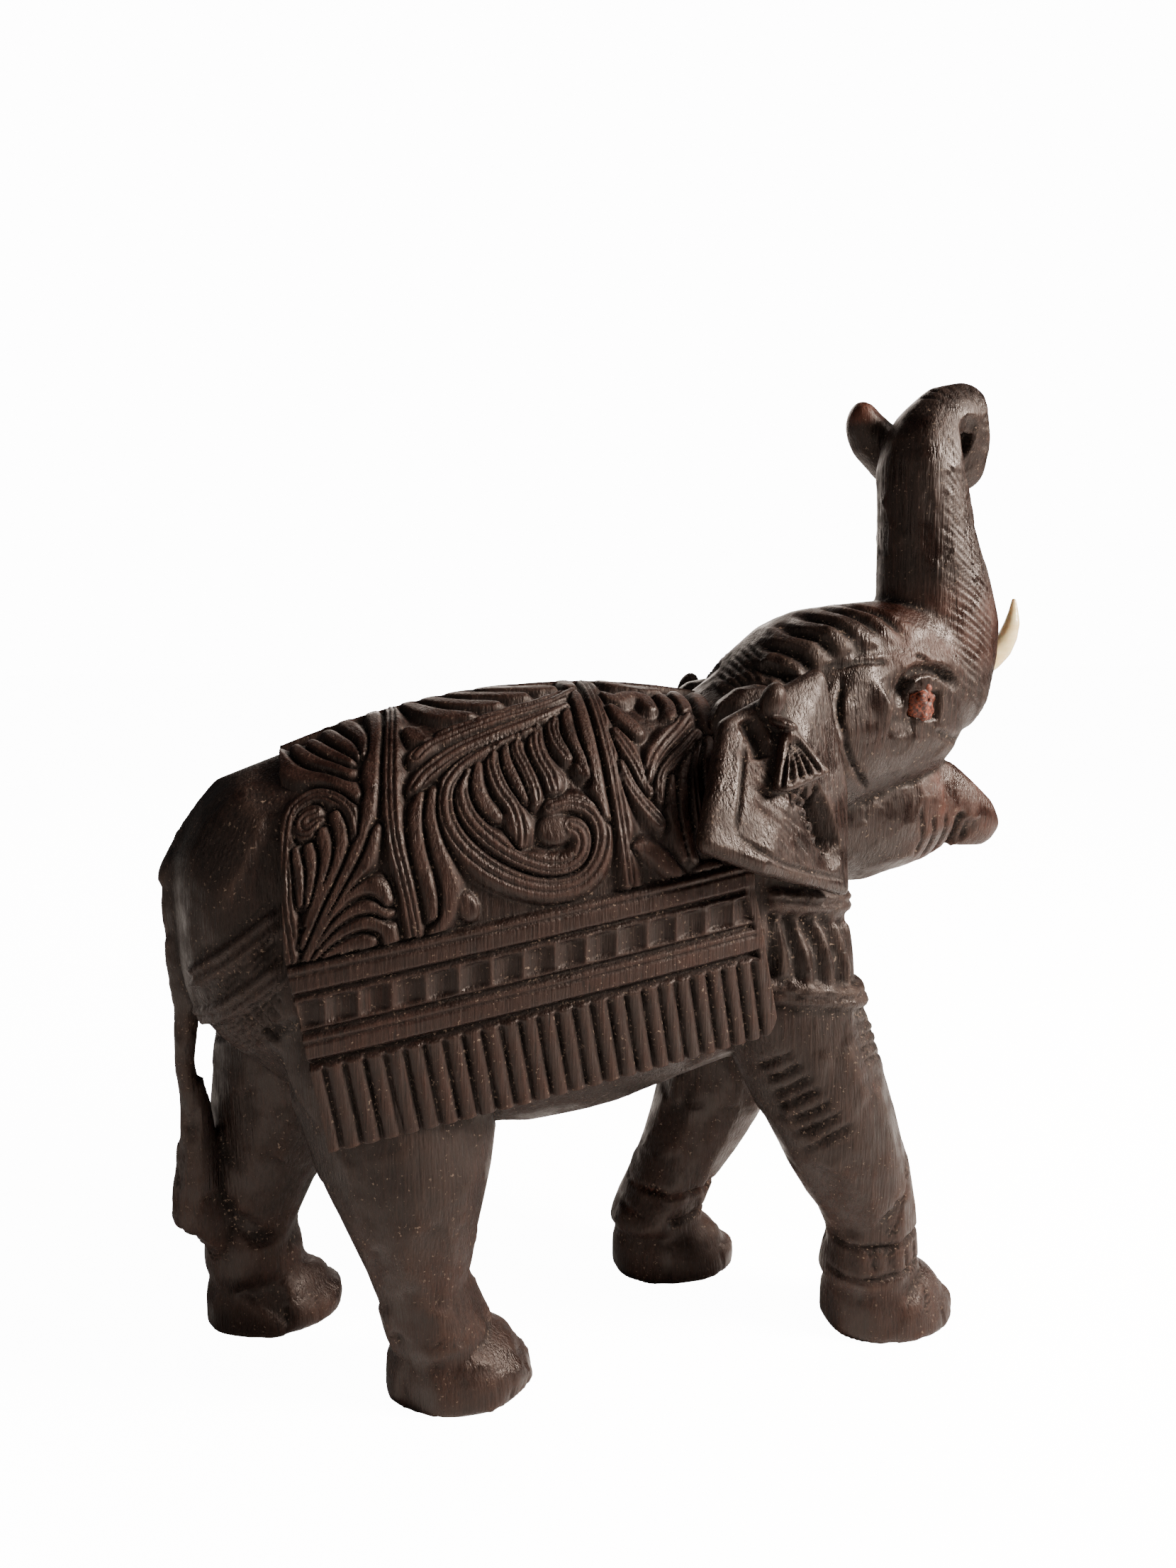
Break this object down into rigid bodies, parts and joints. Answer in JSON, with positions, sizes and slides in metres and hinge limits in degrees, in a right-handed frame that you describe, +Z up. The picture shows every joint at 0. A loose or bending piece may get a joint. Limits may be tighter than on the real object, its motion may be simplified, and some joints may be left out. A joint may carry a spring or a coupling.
{
  "type": "carved elephant figurine",
  "caption": "Walking elephant carved from one wood block with a raised, curled trunk, relief saddle cloth with fringe, large ears and a glued-in tusk beside an empty tusk seat.",
  "frame": {"origin": "on the floor, under the middle of the bounding box", "axes": "+X the way the elephant walks, +Y its left side, +Z up"},
  "size_m": [0.146, 0.0572, 0.1499],
  "materials": {
    "stained_hardwood": "dark stained and waxed, satin, worn to red-brown wood at edges",
    "cream_tusk": "polished cream",
    "wire_pin": "dull drawn wire",
    "socket_filler": "rough amber glue and wood dust"
  },
  "bodies": {
    "root": {"carved_body": "stained_hardwood", "left_tusk": "cream_tusk", "left_tusk_pin": "wire_pin", "left_socket_filler": "socket_filler", "right_socket_filler": "socket_filler"}
  },
  "joints": []
}
